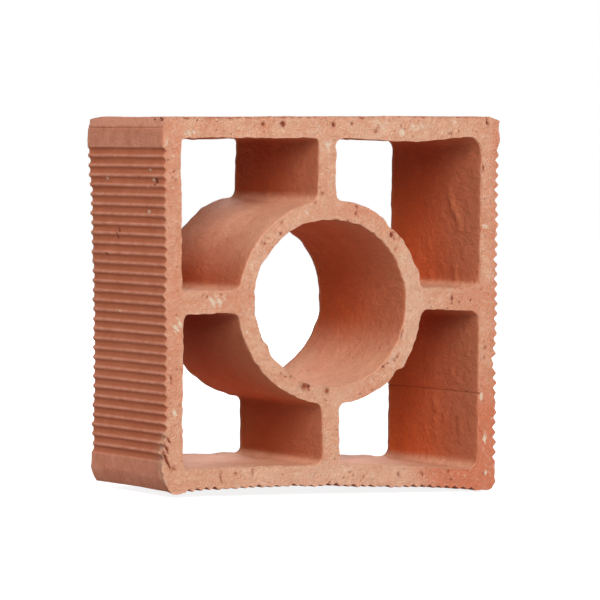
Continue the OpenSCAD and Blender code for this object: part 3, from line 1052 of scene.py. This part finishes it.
def pressed_look(tree, at):
    """Colour and height of the sides and openings: red skin with streaks, worn crests, dust and specks, with
    painted light on crests and upward faces and painted shade deep inside and in the scored line.
    """
    hole = attribute(tree, "hole")
    tone = mottle(tree, at, 38.0, 0.9)
    outer = mixed(tree, tone, linear(185, 100, 64), linear(196, 115, 80))
    mouth = mixed(tree, tone, linear(187, 107, 72), linear(199, 122, 88))
    # redder colour painted as shade deep in the openings; the inner colour is then scaled by painted light
    # and shade
    deep = mixed(tree, tone, linear(195, 84, 36), linear(205, 99, 50))
    inner = add(tree, "ShaderNodeVectorMath", {
        0: mixed(tree, attribute(tree, "painted_deep_shade"), mouth, deep), "Scale": attribute(tree, "tone")},
        operation="SCALE").outputs[0]
    streak = mottle(tree, stretched(tree, at, (1.0, 0.04, 1.0)), 620.0, 1.6)
    pores = place(tree, "specks", at, Density=190.0, Size=0.22, Share=0.12)
    specks = left_spots(tree, at, LEFT_SPECKS)
    nicks = left_spots(tree, at, LEFT_NICKS)
    colour = layered(
        tree, mixed(tree, hole, outer, inner),
        (times(tree, streak, worked(tree, "MULTIPLY_ADD", hole, -0.14, 0.2)), 1.0, (160, 76, 46)),
        # wear with painted light: paler crests, upward flanks and upper bevels, darker just under the crests
        (times(tree, attribute(tree, "wear_and_light"), mottle(tree, at, 120.0, 0.5)), 1.6, (227, 156, 129)),
        # dust with painted light: paler on faces that look up and near the front of the openings
        (times(tree, attribute(tree, "dust_and_painted_light"), mottle(tree, at, 70.0, 0.25)), 1.75, (245, 186, 150)),
        (mottle(tree, at, 640.0, 2.2), 0.16, (162, 78, 44)),
        (place(tree, "specks", at, Density=120.0, Size=0.2, Share=0.12), 0.75, (236, 206, 182)),
        (pores, 0.65, (108, 46, 28)),
        # painted shade along the scored line
        (attribute(tree, "painted_hollow_shade"), 0.4, (112, 46, 27)),
        (specks, 0.8, (226, 190, 160)),
        (nicks, 0.85, (98, 40, 26)),
    )
    grain = place(tree, "grain", at, Scale=650.0, Coarse=0.5)
    knobs = place(tree, "grain", stretched(tree, at, (1.0, 0.4, 1.0)), Scale=330.0, Coarse=0.2)
    knobs = times(tree, knobs, worked(tree, "MULTIPLY_ADD", hole, 2.2, 0.6))
    height = summed(tree, times(tree, grain, 2.0), knobs)
    height = summed(tree, height, times(tree, pores, -0.8))
    return colour, summed(tree, height, summed(tree, specks, times(tree, nicks, -1.5)))


def fired_clay():
    """The block's one material: the cut look on the cut faces and their edges, the pressed look elsewhere."""
    material = bpy.data.materials.new("fired_clay")
    material.use_nodes = True
    tree = material.node_tree
    shader = tree.nodes["Principled BSDF"].inputs
    at = tree.nodes.new("ShaderNodeTexCoord").outputs["Object"]
    cut = attribute(tree, "cut")
    cut_colour, cut_height = cut_look(tree, at)
    pressed_colour, pressed_height = pressed_look(tree, at)
    bump = add(tree, "ShaderNodeBump", {
        "Strength": 0.9, "Distance": 0.0006, "Height": between(tree, cut, pressed_height, cut_height)})
    feed(tree, shader["Base Color"], mixed(tree, cut, pressed_colour, cut_colour))
    feed(tree, shader["Roughness"], worked(tree, "MULTIPLY_ADD", attribute(tree, "dust_and_painted_light"), -0.08, 0.88))
    feed(tree, shader["Specular IOR Level"], 0.2)
    feed(tree, shader["Normal"], bump.outputs["Normal"])
    return material


# Studio
def camera_sight(tree):
    """1 for rays that the camera, a reflection or a clear surface sends, and 0 for light between surfaces."""
    path = tree.nodes.new("ShaderNodeLightPath").outputs
    seen = summed(tree, path["Is Camera Ray"], path["Is Glossy Ray"])
    return worked(tree, "ADD", seen, path["Is Transmission Ray"], clamp=True)


def make_floor():
    """Plain pale floor that keeps the block's shadow and shows white to the camera, more so farther away."""
    corners = FLOOR_REACH * np.array([(-1, -1, 0), (1, -1, 0), (1, 1, 0), (-1, 1, 0)])
    mesh = bpy.data.meshes.new("studio_floor")
    mesh.from_pydata(corners.tolist(), [], [(0, 1, 2, 3)])
    floor = bpy.data.objects.new("studio_floor", mesh)
    bpy.context.scene.collection.objects.link(floor)
    material = bpy.data.materials.new("studio_floor")
    material.use_nodes = True
    tree = material.node_tree
    tree.nodes.clear()
    at = tree.nodes.new("ShaderNodeTexCoord").outputs["Object"]
    distance = add(tree, "ShaderNodeVectorMath", {0: at}, operation="LENGTH").outputs["Value"]
    level = add(tree, "ShaderNodeMapRange", {
        "Value": distance, "From Min": FLOOR_GLOW_FROM, "From Max": FLOOR_GLOW_TO, "To Min": FLOOR_GLOW,
        "To Max": 1.0}, interpolation_type="SMOOTHSTEP").outputs["Result"]
    diffuse = add(tree, "ShaderNodeBsdfDiffuse", {"Color": FLOOR_COLOUR}).outputs[0]
    glow = add(tree, "ShaderNodeEmission", {"Strength": times(tree, camera_sight(tree), level)}).outputs[0]
    both = add(tree, "ShaderNodeAddShader", {0: diffuse, 1: glow}).outputs[0]
    add(tree, "ShaderNodeOutputMaterial", {"Surface": both})
    mesh.materials.append(material)


def make_world():
    """Surround that shows plain white to the camera and gives the block no light."""
    world = bpy.data.worlds.new("studio_world")
    world.use_nodes = True
    background = world.node_tree.nodes["Background"].inputs
    feed(world.node_tree, background["Color"], linear(255, 255, 255))
    feed(world.node_tree, background["Strength"], camera_sight(world.node_tree))
    bpy.context.scene.world = world


def area_light(name, place_m, size_m, power):
    """Soft square lamp at a place, turned to face the block."""
    light = bpy.data.lights.new(name, "AREA")
    light.shape = "SQUARE"
    light.size = size_m
    light.energy = power
    lamp = bpy.data.objects.new(name, light)
    lamp.location = place_m
    lamp.rotation_euler = (Vector(LAMP_AIM) - Vector(place_m)).to_track_quat("-Z", "Y").to_euler()
    bpy.context.scene.collection.objects.link(lamp)


def make_camera(drop):
    """Camera that sees the block's middle at a pixel of its frame, turned by yaw, pitch and roll."""
    forward = np.array([math.sin(YAW) * math.cos(PITCH), math.cos(YAW) * math.cos(PITCH), -math.sin(PITCH)])
    right = np.array([math.cos(YAW), -math.sin(YAW), 0.0])
    down = np.cross(forward, right)
    rolled_right = math.cos(ROLL) * right + math.sin(ROLL) * down
    rolled_down = math.cos(ROLL) * down - math.sin(ROLL) * right
    offset = (np.array(BLOCK_CENTRE_PX) - FRAME_PX / 2) / FOCAL_PX
    middle = np.array([0.0, 0.0, -drop]) * MM
    place_m = middle - DISTANCE * (forward + offset[0] * rolled_right + offset[1] * rolled_down)
    data = bpy.data.cameras.new("photo_camera")
    data.sensor_width = SENSOR_MM
    data.lens = FOCAL_PX / FRAME_PX * SENSOR_MM
    data.clip_end = FAR_CLIP
    camera = bpy.data.objects.new("photo_camera", data)
    axes = np.stack([rolled_right, -rolled_down, -forward], axis=1)
    camera.matrix_world = Matrix.Translation(place_m.tolist()) @ Matrix(axes.tolist()).to_4x4()
    bpy.context.scene.collection.objects.link(camera)
    bpy.context.scene.camera = camera


block_mesh, drop = build_mesh("fired_block")
block_mesh.materials.append(fired_clay())
make_camera(drop)
make_floor()
make_world()
for lamp in LAMPS:
    area_light(*lamp)

block = bpy.data.objects.new("fired_block", block_mesh)
bpy.context.scene.collection.objects.link(block)
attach(block, "root")
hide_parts("breeze_block")

bpy.context.scene.view_settings.view_transform = "Standard"
